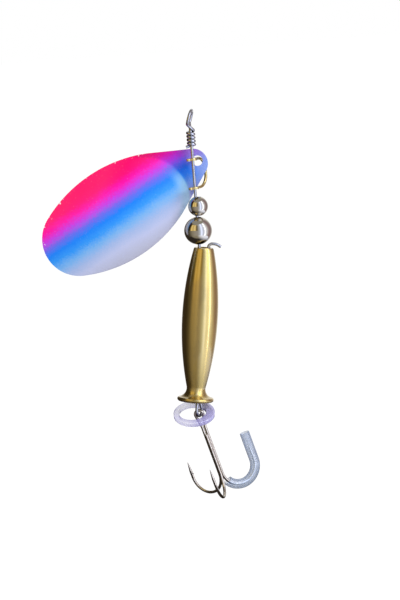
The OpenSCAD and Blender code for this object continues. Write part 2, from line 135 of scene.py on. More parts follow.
class SpinnerColours(bpy.types.PropertyGroup):
    """Colours of the finishes."""

    steel: colour("Steel", "Bright drawn wire", 184, 185, 190)
    brass: colour("Clevis brass", "Bright brass wire", 208, 190, 130)
    body: colour("Body brass", "Satin turned brass", 206, 178, 92)
    nickel: colour("Nickel", "Plating of the beads and the blade's back", 200, 194, 180)
    hook: colour("Hook plating", "Plating of the hook", 208, 199, 183)
    upper_edge: colour("Upper edge", "Paint along the blade's upper edge", 255, 0, 104)
    middle: colour("Middle", "Paint along the blade's middle", 14, 126, 242)
    lower_edge: colour("Lower edge", "Paint along the blade's lower edge", 186, 193, 228)
    ring: colour("Ring vinyl", "Clear vinyl of the ring", 190, 184, 246)
    tube: colour("Tube vinyl", "Clear vinyl of the tube", 96, 127, 172)


# Modelling steps


def only(*objects):
    """Selects these objects alone, the first one active."""
    if bpy.context.mode != "OBJECT":
        bpy.ops.object.mode_set(mode="OBJECT")
    bpy.ops.object.select_all(action="DESELECT")
    for each in objects:
        each.select_set(True)
    bpy.context.view_layer.objects.active = objects[0] if objects else None


def edit(obj):
    """Opens obj in edit mode with everything selected."""
    only(obj)
    bpy.ops.object.mode_set(mode="EDIT")
    bpy.ops.mesh.select_mode(type="VERT")
    bpy.ops.mesh.select_all(action="SELECT")


def close_edit():
    """Goes back to object mode."""
    bpy.ops.object.mode_set(mode="OBJECT")


def added(name):
    """The primitive that was just added, under its name."""
    obj = bpy.context.object
    obj.name = obj.data.name = name
    return obj


def chain(name, points):
    """A line of vertices drawn by extruding one vertex from point to point, in millimetres."""
    only()
    bpy.ops.mesh.primitive_plane_add(size=MM)
    obj = added(name)
    edit(obj)
    bpy.ops.mesh.merge(type="CENTER")
    bpy.ops.transform.translate(value=Vector(points[0]) * MM)
    for before, after in zip(points, points[1:]):
        step = (Vector(after) - Vector(before)) * MM
        bpy.ops.mesh.extrude_vertices_move(TRANSFORM_OT_translate={"value": step})
    close_edit()
    return obj


def tidy_shell(obj, gap=1e-7):
    """Merges doubled vertices and turns all faces outwards."""
    edit(obj)
    bpy.ops.mesh.remove_doubles(threshold=gap)
    bpy.ops.mesh.normals_make_consistent(inside=False)
    close_edit()


def right_side_out(obj):
    """Turns a closed thin shell over where its volume comes out negative."""
    mesh = obj.data
    mesh.calc_loop_triangles()
    places = [vertex.co.copy() for vertex in mesh.vertices]
    volume = sum(places[t.vertices[0]].dot(places[t.vertices[1]].cross(places[t.vertices[2]]))
                 for t in mesh.loop_triangles)
    if volume < 0:
        edit(obj)
        bpy.ops.mesh.flip_normals()
        close_edit()


def smooth(obj, limit=35):
    """Shades obj smooth over edges flatter than limit, in degrees."""
    only(obj)
    bpy.ops.object.shade_smooth_by_angle(angle=math.radians(limit))


def modify(obj, kind, **settings):
    """Adds a modifier and applies it."""
    only(obj)
    modifier = obj.modifiers.new(kind.title(), kind)
    for key, value in settings.items():
        setattr(modifier, key, value)
    bpy.ops.object.modifier_apply(modifier=modifier.name)


def break_edges(obj, width, limit, segments=2):
    """Rounds the edges sharper than limit, in degrees, by a width in millimetres."""
    modify(obj, "BEVEL", width=width * MM, segments=segments, limit_method="ANGLE",
           angle_limit=math.radians(limit))


def put(obj, matrix):
    """Moves obj by matrix, given in metres, and leaves its place in its mesh."""
    only(obj)
    obj.matrix_world = matrix @ obj.matrix_world
    bpy.ops.object.transform_apply(location=True, rotation=True, scale=True)


def join(first, *others):
    """Joins objects into the first one."""
    only(first, *others)
    bpy.ops.object.join()
    return first


def drill(obj, at, direction, radius, depth):
    """Bores a round hole through obj, at a point in millimetres."""
    only()
    bpy.ops.mesh.primitive_cylinder_add(vertices=64, radius=radius * MM, depth=depth * MM)
    drill_bit = bpy.context.object
    turn = Vector((0, 0, 1)).rotation_difference(Vector(direction)).to_matrix().to_4x4()
    put(drill_bit, Matrix.Translation(Vector(at) * MM) @ turn)
    modify(obj, "BOOLEAN", operation="DIFFERENCE", object=drill_bit, solver="MANIFOLD")
    bpy.data.objects.remove(drill_bit)


def wire(name, points, diameter, radius_at=None, sides=16, capped=True):
    """A round wire along points, all in millimetres; radius_at gives its radius where it tapers."""
    obj = chain(name, points)
    only(obj)
    bpy.ops.object.convert(target="CURVE")
    line = obj.data
    line.bevel_depth = diameter / 2 * MM
    line.bevel_resolution = (sides - 4) // 2
    line.use_fill_caps = capped
    if radius_at:
        for spline in line.splines:
            for point in spline.points:
                point.radius = radius_at(Vector(point.co[:3]) / MM) / (diameter / 2)
    bpy.ops.object.convert(target="MESH")
    tidy_shell(obj, 1e-8)
    smooth(obj, 50)
    return obj


def turned(name, profile, steps):
    """A closed profile of (radius, height) in millimetres, spun round the Z axis."""
    obj = chain(name, [(r, 0, z) for r, z in list(profile) + [profile[0]]])
    edit(obj)
    bpy.ops.mesh.spin(steps=steps, angle=2 * math.pi, center=(0, 0, 0), axis=(0, 0, 1))
    close_edit()
    tidy_shell(obj, 2e-6)
    smooth(obj, 40)
    return obj


def plate(name, outline, low, high):
    """A flat plate of an outline in millimetres, from height low to high."""
    obj = chain(name, [(x, y, low) for x, y in outline])
    edit(obj)
    bpy.ops.mesh.edge_face_add()
    bpy.ops.mesh.extrude_region_move(TRANSFORM_OT_translate={"value": (0, 0, (high - low) * MM)})
    close_edit()
    tidy_shell(obj)
    return obj


def arc(centre, radius, start, end, steps):
    """Points (x, y) along an arc, angles in degrees."""
    ways = [math.radians(start + (end - start) * i / steps) for i in range(steps + 1)]
    return [(centre[0] + radius * math.cos(way), centre[1] + radius * math.sin(way)) for way in ways]


def bent(corners, step=8):
    """Points along a route of (corner, bend radius) in millimetres, its bends in steps of so many degrees."""
    points = [Vector(corners[0][0])]
    for (a, _), (b, radius), (c, _) in zip(corners, corners[1:], corners[2:]):
        a, b, c = Vector(a), Vector(b), Vector(c)
        u, v = (b - a).normalized(), (c - b).normalized()
        turn = u.angle(v)
        if turn < 1e-3 or radius == 0:
            points.append(b)
            continue
        inward = (v - v.dot(u) * u).normalized()
        begin = b - radius * math.tan(turn / 2) * u
        count = max(2, round(math.degrees(turn) / step))
        ways = [turn * i / count for i in range(count + 1)]
        points += [begin + radius * (math.sin(w) * u + (1 - math.cos(w)) * inward) for w in ways]
    points.append(Vector(corners[-1][0]))
    return [p for p, q in zip(points, points[1:] + [None]) if q is None or (p - q).length > 0.01]


def eased(start, start_way, end, end_way, steps=10):
    """Points of a smooth bend that leaves start along start_way and comes to end along end_way."""
    reach = (end - start).length * 0.4
    near, far = start + reach * start_way, end - reach * end_way
    return [(1 - t) ** 3 * start + 3 * (1 - t) ** 2 * t * near + 3 * (1 - t) * t ** 2 * far + t ** 3 * end
            for t in (i / steps for i in range(steps + 1))]


def finish_piece(obj, material, body, slot, *nodes):
    """Gives a piece its finish and its body, in place of the solids that it stands for."""
    obj.data.materials.clear()
    for each in material if isinstance(material, (list, tuple)) else [material]:
        obj.data.materials.append(each)
    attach(obj, body)
    if nodes:
        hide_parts(*nodes)


# Finishes


class Value:
    """A shader socket that takes part in Python expressions."""

    def __init__(self, finish, socket):
        self.finish, self.socket = finish, socket

    def _math(self, operation, *values):
        return self.finish.add("ShaderNodeMath", {"operation": operation}, dict(enumerate(values)))

    def __add__(self, other):
        return self._math("ADD", self, other)

    def __radd__(self, other):
        return self._math("ADD", other, self)

    def __sub__(self, other):
        return self._math("SUBTRACT", self, other)

    def __rsub__(self, other):
        return self._math("SUBTRACT", other, self)

    def __mul__(self, other):
        return self._math("MULTIPLY", self, other)

    def __rmul__(self, other):
        return self._math("MULTIPLY", other, self)

    def __truediv__(self, other):
        return self._math("DIVIDE", self, other)

    def __pow__(self, other):
        return self._math("POWER", self, other)

    def between(self, low, high):
        """0 at low and 1 at high, eased between."""
        return self.finish.add("ShaderNodeMapRange", {"interpolation_type": "SMOOTHSTEP"},
                               {"Value": self, "From Min": low, "From Max": high})


class Finish:
    """A material, or the world, under construction."""

    def __init__(self, name, holder=None):
        self.material = holder or bpy.data.materials.new(name)
        self.material.use_nodes = True
        self.tree = self.material.node_tree
        self.tree.nodes.clear()

    def add(self, kind, settings=None, inputs=None, output=0):
        """Adds a node with its settings, and values or links for its sockets; gives one of its outputs."""
        node = self.tree.nodes.new(kind)
        for key, value in (settings or {}).items():
            if key == "stops":
                ramp = node.color_ramp
                while len(ramp.elements) > 1:
                    ramp.elements.remove(ramp.elements[-1])
                ramp.elements[0].position = value[0][0]
                ramp.elements[0].color = (*value[0][1], 1)
                for place, tint in value[1:]:
                    ramp.elements.new(place).color = (*tint, 1)
            else:
                setattr(node, key, value)
        for key, value in (inputs or {}).items():
            socket = node.inputs[key]
            if isinstance(value, Value):
                self.tree.links.new(value.socket, socket)
            elif socket.type == "RGBA" and len(value) == 3:
                socket.default_value = (*value, 1)
            else:
                socket.default_value = value
        return Value(self, node.outputs[output]) if node.outputs else None

    def place(self, centre=(0, 0, 0), turn=(0, 0, 0)):
        """Object coordinates in millimetres about centre, turned so that a piece's axis stands along Z."""
        at = self.add("ShaderNodeTexCoord", output="Object")
        at = self.add("ShaderNodeVectorMath", {"operation": "SCALE"}, {0: at, "Scale": 1 / MM})
        at = self.add("ShaderNodeVectorMath", {"operation": "SUBTRACT"}, {0: at, 1: tuple(centre)})
        if any(turn):
            at = self.add("ShaderNodeMapping", {"vector_type": "POINT"}, {"Vector": at, "Rotation": turn})
        return at

    def stretched(self, at, scale):
        """A place scaled by a factor along each axis."""
        return self.add("ShaderNodeVectorMath", {"operation": "MULTIPLY"}, {0: at, 1: scale})

    def along(self, at, direction):
        """How far a place lies along a direction."""
        return self.add("ShaderNodeVectorMath", {"operation": "DOT_PRODUCT"},
                        {0: at, 1: tuple(direction)}, "Value")

    def noise(self, at, scale, detail=3.0, roughness=0.55):
        """Soft noise from 0 to 1."""
        return self.add("ShaderNodeTexNoise", {},
                        {"Vector": at, "Scale": scale, "Detail": detail, "Roughness": roughness})

    def mix(self, share, first, second, blend="MIX"):
        """One colour over another, by share."""
        return self.add("ShaderNodeMix", {"data_type": "RGBA", "blend_type": blend},
                        {0: share, 6: first, 7: second}, 2)

    def ramp(self, value, stops):
        """A colour from stops of (place, colour)."""
        return self.add("ShaderNodeValToRGB", {"stops": stops}, {0: value})

    def bump(self, height, strength, depth):
        """A normal tipped by a height, over a depth in millimetres."""
        return self.add("ShaderNodeBump", {},
                        {"Height": height, "Strength": strength, "Distance": depth * MM})

    def seen(self):
        """1 on rays from the camera, from gloss or through clear pieces, and 0 on rays that only light."""
        camera, glossy, through = (self.add("ShaderNodeLightPath", output=ray) for ray in
                                   ("Is Camera Ray", "Is Glossy Ray", "Is Transmission Ray"))
        return camera + glossy + through

    def surface(self, **sockets):
        """Closes the material with one principled surface."""
        names = {key.replace("_", " ").title().replace("Ior", "IOR"): value
                 for key, value in sockets.items()}
        shader = self.add("ShaderNodeBsdfPrincipled", {}, names)
        self.add("ShaderNodeOutputMaterial", {}, {"Surface": shader})
        return self.material


def shade(tint, factor):
    """A colour made darker or lighter."""
    return tuple(min(1.0, c * factor) for c in tint)


def drawn_steel(colours):
    """Bright drawn wire, slightly dulled in patches."""
    finish = Finish("drawn_steel")
    at = finish.place()
    patch = finish.noise(at, 0.9)
    grain = finish.noise(finish.stretched(at, (9, 9, 1.2)), 2.5, 2)
    return finish.surface(
        base_color=finish.mix(patch, shade(colours.steel, 0.78), colours.steel),
        metallic=1.0,
        roughness=0.14 + 0.16 * grain,
        normal=finish.bump(grain, 0.15, 0.02),
    )


def clevis_brass(colours):
    """Bright brass wire with brown tarnish in patches."""
    finish = Finish("clevis_brass")
    at = finish.place()
    tarnish = finish.noise(at, 0.7, 4).between(0.52, 0.75)
    grain = finish.noise(at, 6, 2)
    return finish.surface(
        base_color=finish.mix(tarnish, colours.brass, srgb(150, 96, 40)),
        metallic=1.0,
        roughness=0.18 + 0.15 * grain + 0.15 * tarnish,
        normal=finish.bump(grain, 0.12, 0.02),
    )


def bead_mirror(colours):
    """Mirror plating with faint polishing haze."""
    finish = Finish("bead_mirror")
    at = finish.place()
    haze = finish.noise(at, 0.8, 4)
    scratch = finish.noise(finish.stretched(at, (1, 1, 14)), 1.3, 2)
    return finish.surface(
        base_color=finish.mix(haze, shade(colours.nickel, 0.9), colours.nickel),
        metallic=1.0,
        roughness=0.025 + 0.05 * haze.between(0.5, 0.8) + 0.03 * scratch,
        normal=finish.bump(haze, 0.02, 0.02),
    )


def turned_brass(colours, top, lean):
    """Satin brass with the fine rings of the lathe and some age in the hollows."""
    finish = Finish("turned_brass")
    at = finish.place(top, (0, -lean, 0))
    rings = finish.noise(finish.stretched(at, (0.04, 0.04, 4.5)), 1.0, 2, 0.6)
    age = finish.noise(finish.stretched(at, (1, 1, 0.25)), 0.55, 4)
    worn = finish.mix(age.between(0.4, 0.75), colours.body, shade(colours.body, 0.8))
    return finish.surface(
        base_color=finish.mix(rings * 0.3, worn, shade(colours.body, 0.6)),
        metallic=1.0,
        roughness=0.24 + 0.06 * rings + 0.06 * age,
        anisotropic=0.85,
        anisotropic_rotation=0.25,
        normal=finish.bump(rings, 0.06, 0.02),
        coat_weight=0.8,
        coat_roughness=0.07,
        coat_ior=1.9,
    )


def hook_plating(colours, foot, towards):
    """Bright plating over wire, with brown specks, and a painted highlight: on the right prong's side, inside
    the tube, the wire is painted near white and made half metallic.
    """
    finish = Finish("hook_plating")
    at = finish.place()
    speck = finish.noise(at, 1.1, 5).between(0.58, 0.78)
    grain = finish.noise(at, 2, 2)
    # Painted highlight: past the right prong's foot, inside the tube, the wire is painted near white and made
    # half metallic to show a bright streak
    painted_streak_highlight = finish.along(finish.place(foot), towards).between(0.8, 1.4)
    plated = finish.mix(speck, colours.hook, srgb(148, 128, 104))
    return finish.surface(
        base_color=finish.mix(painted_streak_highlight, plated, srgb(240, 245, 248)),
        metallic=1.0 - 0.5 * painted_streak_highlight,
        roughness=0.07 + 0.06 * grain + 0.12 * speck,
        normal=finish.bump(grain, 0.03, 0.015),
    )


def brazed_seam(colours):
    """Brazing metal, dull and uneven under its plating."""
    finish = Finish("brazed_seam")
    at = finish.place()
    lumps = finish.noise(at, 2.2, 4)
    return finish.surface(
        base_color=finish.mix(lumps, shade(colours.hook, 0.6), colours.hook),
        metallic=1.0,
        roughness=0.25 + 0.3 * lumps,
        normal=finish.bump(lumps, 0.4, 0.08),
    )


def blade_paint(colours, hole, lengthwise, crosswise):
    """Gloss paint sprayed in soft bands along the blade, with chips along its upper edge, a painted shade just
    outside the dome's edge and a painted highlight just inside it.
    """
    finish = Finish("blade_paint")
    at = finish.place(hole)
    across = finish.along(at, crosswise)
    down = finish.along(at, lengthwise)
    drift = finish.noise(at, 0.16, 2) - 0.5
    mist = finish.noise(at, 3.2, 4, 0.7) - 0.5
    place = (across + 1.2 * drift + 3.4 * mist + 11.6) / 24
    stops = [
        (0.10, colours.upper_edge), (0.17, srgb(255, 0, 116)), (0.24, srgb(246, 2, 165)),
        (0.32, srgb(196, 58, 220)), (0.395, srgb(104, 104, 230)), (0.47, colours.middle),
        (0.55, srgb(48, 148, 242)), (0.63, srgb(116, 174, 234)), (0.72, srgb(160, 181, 226)),
        (0.81, colours.lower_edge), (0.95, srgb(178, 180, 204)),
    ]
    bands = finish.ramp(place, stops)
    from_dome = ((down - 16) ** 2 + (across - 1.5) ** 2) ** 0.5
    # Painted shade: the paint is darkened just outside the dome's edge, on the tab side
    painted_crease_shade = from_dome.between(10.3, 11.3) * down.between(14, 11)
    bands = finish.mix(painted_crease_shade * 0.8, bands, (0.6, 0.5, 0.85), "MULTIPLY")
    # Painted highlight: a pale cyan arc just inside the dome's edge, near the tab
    arc_of_light = from_dome.between(7.6, 9.8) * from_dome.between(10.9, 10.3)
    glint = arc_of_light * down.between(13, 10) * across.between(-3, 3)
    bands = finish.mix(glint * 0.55, bands, srgb(168, 214, 248))
    tab = finish.mix((across / 8 + 0.5).between(0.0, 0.75), srgb(152, 104, 214), srgb(138, 164, 238))
    bands = finish.mix(down.between(3.4, -0.4) * 0.95, bands, tab)
    rim = ((down - 24.3) / 20.6) ** 2 + (across / 12.0) ** 2
    edge = rim.between(0.88, 0.96) * across.between(2, -2) * down.between(8, 13)
    chips = finish.noise(at, 1.3, 4).between(0.62, 0.65) * edge
    grit = finish.noise(at, 4.5, 2).between(0.70, 0.76)
    painted = finish.mix(grit * 0.3, bands, srgb(236, 236, 246))
    return finish.surface(
        base_color=finish.mix(chips, painted, srgb(238, 234, 236)),
        roughness=0.34 + 0.12 * mist + 0.2 * chips,
        specular_ior_level=0.08,
        coat_weight=0.32 - 0.25 * chips,
        coat_roughness=0.05,
        normal=finish.bump(finish.noise(at, 1.2, 2) - 0.4 * chips, 0.06, 0.06),
    )


def blade_back_metal(colours):
    """Bare plated sheet on the blade's hollow side and rim."""
    finish = Finish("blade_back_metal")
    at = finish.place()
    brush = finish.noise(finish.stretched(at, (0.6, 1, 3)), 2.0, 4)
    haze = finish.noise(at, 0.25, 3)
    return finish.surface(
        base_color=finish.mix(haze, colours.nickel, shade(colours.nickel, 1.3)),
        metallic=1.0,
        roughness=0.16 + 0.12 * brush + 0.08 * haze,
        normal=finish.bump(brush, 0.06, 0.02),
    )


def clear_vinyl(name, tint, cloud, middle, edges, thick_at=(0, 0, 0), thick_gain=0.0):
    """Soft clear vinyl, a little cloudy, denser edge on and to the right of thick_at, with a waxy skin."""
    finish = Finish(name)
    at = finish.place(thick_at)
    cloudy = finish.noise(at, 0.5, 3)
    skin = finish.noise(at, 0.9, 3)
    edge_on = finish.add("ShaderNodeLayerWeight", {}, {"Blend": 0.5}, "Facing")
    thick = thick_gain * finish.along(at, (1, 0, 0)).between(-3, 4)
    return finish.surface(
        base_color=finish.mix(cloudy * cloud, tint, shade(tint, 0.8)),
        alpha=middle + thick + (edges - middle) * edge_on ** 1.5,
        roughness=0.2 + 0.1 * skin,
        coat_weight=1.0,
        coat_roughness=0.04,
        coat_ior=2.2,
        normal=finish.bump(skin, 0.012, 0.03),
    )


# Pieces

# Sizes of the solids that the finished pieces keep to, in millimetres, and angles in degrees
EYE_NECK = 2.9
BORE_SIDE = 1.125
LOOP_DROP, LEG_HALF = 2.35, 0.65
CLEVIS_REACH, CLEVIS_BOW, CLEVIS_TURN = 5.5, 3.0, 33
BLADE_DIP, BLADE_FLANK = 29.1, 27.6
BLADE_BELLY, TIP_R, TAB_R, HOLE_R, HOLE_INSET = 26.7, 9.2, 3.7, 1.3, 2.4
CREASE, DOME_APEX, DOME_R = 8.0, 29.3, 29.75
BEAD_BORE = 0.85
HOOK_DROP, POINT_RISE, POINT_LEN = 20.8, 9.2, 2.6
HOOK_LEAN, HOOK_BACK, HOOK_ROLL = 15.5, 4.5, -11
HOOK_EYE_BORE, EYE_CLOSE, SHANK_GAP = 1.25, 3.0, 0.01
LEFT_WAY, RIGHT_WAY, THIRD_WAY = 150, 30, 270
RING_BORE, RING_THICK, RING_OFFSET = 3.4, 1.2, 0.4
TUBE_START, TUBE_WALL, TUBE_PAST = 32, 0.4, 3.0


class MakeShaft(bpy.types.Operator):
    """Bends the shaft wire: cut end, wraps, line eye, straight run, lower loop and tail."""

    bl_idname = "spinner.make_shaft"
    bl_label = "Wire shaft"

    def execute(self, context):
        sizes = context.scene.spinner_sizes
        eye, wire_d, loop = sizes.eye / MM, sizes.wire / MM, sizes.loop / MM
        spin = Matrix.Rotation(sizes.eye_turn, 3, "Z")
        leaned = spin @ Matrix.Rotation(sizes.eye_lean, 3, "X")
        opening = 90 - math.degrees(math.acos(eye / EYE_NECK))
        ring = [leaned @ Vector((x, 0, z)) for x, z in arc((0, 0), eye, 180 + opening, -opening, 30)]

        wrap_r, turns = wire_d + 0.03, sizes.wrap_turns
        top, fall = -EYE_NECK - 0.25, sizes.wrap_pitch / MM * turns
        count = round(turns * 24)
        wraps = []
        for i in range(count, -1, -1):
            way = math.radians(-90 + 360 * turns * i / count)
            height = top - fall * i / count
            wraps.append(spin @ Vector((wrap_r * math.cos(way), wrap_r * math.sin(way), height)))
        away = (wraps[0] - wraps[1]).normalized()
        stub = wraps[0] + 1.05 * away + Vector((-0.12, 0.1, -0.12))
        crossing = (ring[0] - wraps[-1]).normalized()
        over = eased(wraps[-5], (wraps[-5] - wraps[-6]).normalized(), ring[0] - 0.9 * crossing, crossing)

        lean = math.atan2(joint_axis("body_spin").x, joint_axis("body_spin").z)
        body_top = joint_at("body_spin")
        tilt = Matrix.Rotation(lean, 3, "Y")
        neck, straight = Vector((0, 0, -EYE_NECK)), Vector((0, 0, -EYE_NECK - 1.5))
        entry = Vector((0, 0, body_top.z + BORE_SIDE * math.sin(lean)))
        loop_way = joint_axis("hook_swing")
        centre = joint_at("hook_swing") + Vector((0, 0, loop))
        mid = centre + Vector((0, 0, LOOP_DROP))
        leg = math.hypot(LEG_HALF, LOOP_DROP)
        tangent = math.degrees(math.atan2(LOOP_DROP, LEG_HALF) - math.acos(loop / leg))
        lower_loop = [centre + x * loop_way + Vector((0, 0, z))
                      for x, z in arc((0, 0), loop, 180 - tangent, 360 + tangent, 28)]
        corner, crest, end = (body_top + tilt @ Vector((BORE_SIDE + x, 0, z))
                              for x, z in ((0, 1.1), (1.95, 1.05), (3.1, 0.4)))
        into_shaft = bent([(ring[-2], 0), (neck, 1.0), (straight, 0)])
        down = bent([(straight, 0), (entry, 7), (mid - LEG_HALF * loop_way, 2 * loop), (lower_loop[0], 0)])
        up = bent([(lower_loop[-1], 0), (mid + LEG_HALF * loop_way, 2 * loop), (corner, 1.0), (crest, 2.0),
                   (end, 0)])
        route = [stub] + wraps[:-5] + over + ring[:-1] + into_shaft[1:-1] + down + lower_loop[1:-1] + up
        obj = wire("shaft_wire", route, wire_d)
        finish_piece(obj, drawn_steel(context.scene.spinner_colours), "shaft", "stainless_wire", "wire_shaft")
        return {"FINISHED"}


class MakeClevis(bpy.types.Operator):
    """Bends the clevis bow and flattens its two ears."""

    bl_idname = "spinner.make_clevis"
    bl_label = "Clevis"

    def execute(self, context):
        sizes = context.scene.spinner_sizes
        wire_d, ear_t = sizes.clevis_wire / MM, sizes.ear / MM
        upper = joint_at("clevis_spin").z
        span = upper - (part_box("clevis")[0].z / MM + wire_d / 2)
        start = 0.75
        route = bent([((start, 0, 0), 0), ((CLEVIS_REACH, 0, 0), CLEVIS_BOW),
                      ((CLEVIS_REACH, 0, -span), CLEVIS_BOW), ((start, 0, -span), 0)], 6)

        def flattened(point):
            """Radius of the wire at a point, thinner where it runs into an ear."""
            return wire_d / 2 * (0.8 + 0.2 * min(1.0, max(0.0, (point.x - 0.8) / 1.2)))

        obj = wire("clevis_bow", route, wire_d, flattened)
        round_r, nose_x, nose_r, root_x, root_y = 1.05, -1.975, 0.5, 1.5, 0.36
        outline = (arc((0, 0), round_r, 30, 150, 16) + arc((nose_x, 0), nose_r, 110, 250, 12)
                   + arc((0, 0), round_r, 210, 330, 16) + [(root_x, -root_y), (root_x, root_y)])
        for height in (0, -span):
            ear = plate("clevis_ear", outline, height - ear_t / 2, height + ear_t / 2)
            drill(ear, (0, 0, height), (0, 0, 1), 0.42, 3)
            break_edges(ear, 0.09, 50)
            smooth(ear)
            join(obj, ear)
        obj.name = "clevis_wire"
        put(obj, Matrix.Translation((0, 0, upper * MM))
            @ Matrix.Rotation(math.radians(90 - CLEVIS_TURN), 4, "Z"))
        finish_piece(obj, clevis_brass(context.scene.spinner_colours), "clevis", "clevis_brass", "clevis")
        return {"FINISHED"}


class MakeBlade(bpy.types.Operator):
    """Presses the blade from a grid: outline, flat tab, dome, hole and rolled rim."""

    bl_idname = "spinner.make_blade"
    bl_label = "Blade"

    def execute(self, context):
        sizes = context.scene.spinner_sizes
        colours = context.scene.spinner_colours
        half, crown = sizes.blade_wide / 2 / MM, sizes.crown / MM
        long, sheet = sizes.blade_long / MM, sizes.blade_sheet / MM
        belly, tip_c = BLADE_BELLY, long - TIP_R
        side_r = ((tip_c - belly) ** 2 + half ** 2 - TIP_R ** 2) / (2 * half - 2 * TIP_R)
        side_drop = side_r - half
        tip_join = belly + side_r * (tip_c - belly) / (side_r - TIP_R)
        flank = math.radians(BLADE_FLANK)
        tab_side = TAB_R + (belly - TAB_R) * math.sin(flank)
        front_r = (tab_side - half * math.cos(flank)) / (1 - math.cos(flank))
        tab_join = TAB_R * (1 - math.sin(flank))
        side_join = belly - front_r * math.sin(flank)
        long_r = ((DOME_APEX - CREASE) ** 2 + crown ** 2) / (2 * crown)
        soft_crease = 0.25

        def half_width(x):
            """Half the blade's width, at a distance from the tab's end."""
            if x < tab_join:
                return math.sqrt(max(0.0, TAB_R ** 2 - (x - TAB_R) ** 2))
            if x < side_join:
                return TAB_R * math.cos(flank) + (x - tab_join) * math.tan(flank)
            if x < belly:
                return math.sqrt(front_r ** 2 - (x - belly) ** 2) - front_r + half
            if x < tip_join:
                return math.sqrt(side_r ** 2 - (x - belly) ** 2) - side_drop
            return math.sqrt(max(0.0, TIP_R ** 2 - (x - tip_c) ** 2))

        def height(x, y):
            """Height of the pressed dome, which runs out softly into the flat tab."""
            across = long_r - DOME_R + math.sqrt(DOME_R ** 2 - y * y)
            rise = crown - long_r + math.sqrt(across ** 2 - (x - DOME_APEX) ** 2)
            return (rise + math.hypot(rise, soft_crease)) / 2

        only()
        bpy.ops.mesh.primitive_grid_add(x_subdivisions=150, y_subdivisions=56, size=2)
        obj = added("painted_blade")
        for vertex in obj.data.vertices:
            share = (vertex.co.x + 1) / 2
            x = long * (0.25 * share + 0.75 * (1 - math.cos(math.pi * share)) / 2)
            y = half_width(x) * vertex.co.y
            vertex.co = Vector((x - HOLE_INSET, y, height(x, y))) * MM
        tidy_shell(obj, 1e-6)
        modify(obj, "SOLIDIFY", thickness=sheet * MM, offset=0, use_even_offset=True)
        right_side_out(obj)
        break_edges(obj, 0.1, 50)
        drill(obj, (0, 0, 0), (0, 0, 1), HOLE_R, 4)
        hole = joint_at("blade_swing")
        dip = math.radians(BLADE_DIP)
        put(obj, Matrix.Translation(hole * MM) @ Matrix.Rotation(math.pi - dip, 4, "Y")
            @ Matrix.Rotation(math.pi / 2, 4, "X"))
        smooth(obj, 40)
        lengthwise, crosswise = (-math.cos(dip), 0, -math.sin(dip)), (math.sin(dip), 0, -math.cos(dip))
        paint = blade_paint(colours, hole, lengthwise, crosswise)
        finish_piece(obj, [paint, blade_back_metal(colours)], "blade", "blade_paint", "blade")
        for face in obj.data.polygons:
            face.material_index = 0 if face.normal.y < -0.45 else 1
        return {"FINISHED"}


class MakeBeads(bpy.types.Operator):
    """Turns the two plated beads with their bores."""

    bl_idname = "spinner.make_beads"
    bl_label = "Beads"

    def execute(self, context):
        mirror = bead_mirror(context.scene.spinner_colours)
        steps = context.scene.spinner_sizes.turned_steps
        for name in ("small_bead", "large_bead"):
            low, high = (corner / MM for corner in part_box(name))
            radius = (high.x - low.x) / 2
            open_at = math.degrees(math.asin((BEAD_BORE + 0.12) / radius))
            profile = arc((0, 0), radius, 90 - open_at, open_at - 90, 56)
            end = profile[-1][1]
            profile += [(BEAD_BORE, end + 0.1), (BEAD_BORE, -end - 0.1)]
            obj = turned(name + "_plated", profile, steps)
            put(obj, Matrix.Translation(joint_at(name + "_spin") * MM))
            finish_piece(obj, mirror, name, "bead_nickel", name)
        return {"FINISHED"}


class MakeBody(bpy.types.Operator):
    """Turns the brass body: barrel, neck, flared foot with its lip, and bore."""

    bl_idname = "spinner.make_body"
    bl_label = "Body"

    def execute(self, context):
        barrel_d, end_d, barrel_len, foot_d, flare, lip, bore = 9.0, 4.9, 35.0, 9.2, 2.2, 0.55, 1.75
        sag = (barrel_d - end_d) / 2
        barrel_r = ((barrel_len / 2) ** 2 + sag ** 2) / (2 * sag)
        barrel_c = Vector((barrel_d / 2 - barrel_r, -barrel_len / 2))
        neck = Vector((end_d / 2, -barrel_len))
        outward = (neck - barrel_c).normalized()
        flare_c = barrel_c + (barrel_r + flare) * outward
        lip_x = foot_d / 2 - lip
        lip_c = Vector((lip_x, flare_c.y - math.sqrt((flare + lip) ** 2 - (flare_c.x - lip_x) ** 2)))
        swing = math.degrees(math.asin(barrel_len / 2 / barrel_r))
        to_lip = (lip_c - flare_c).normalized()
        flare_end = math.degrees(math.atan2(to_lip.y, to_lip.x)) % 360
        flare_start = math.degrees(math.atan2(-outward.y, -outward.x)) % 360
        chamfer = 0.12
        profile = [(bore, -chamfer), (bore + chamfer, 0), (end_d / 2 - chamfer, 0)]
        profile += arc(barrel_c, barrel_r, swing - 0.25, -swing, 60)
        profile += arc(flare_c, flare, flare_start, flare_end, 20)[1:]
        profile += arc(lip_c, lip, flare_end - 180, -90, 18)[1:]
        base = lip_c.y - lip
        profile += [(bore + chamfer, base), (bore, base + chamfer)]
        obj = turned("brass_body", profile, context.scene.spinner_sizes.turned_steps)
        axis = joint_axis("body_spin")
        lean = math.atan2(axis.x, axis.z)
        top = joint_at("body_spin")
        put(obj, Matrix.Translation(top * MM) @ Matrix.Rotation(lean, 4, "Y"))
        finish_piece(obj, turned_brass(context.scene.spinner_colours, top, lean), "body", "body_brass", "body")
        return {"FINISHED"}


def hook_place():
    """Matrix from the hook's own frame, its shank down along -Z, to the row frame."""
    return (Matrix.Translation(joint_at("hook_swing") * MM)
            @ Matrix.Rotation(math.radians(-HOOK_LEAN), 4, "Y")
            @ Matrix.Rotation(math.radians(HOOK_BACK), 4, "X")
            @ Matrix.Rotation(math.radians(HOOK_ROLL), 4, "Z"))


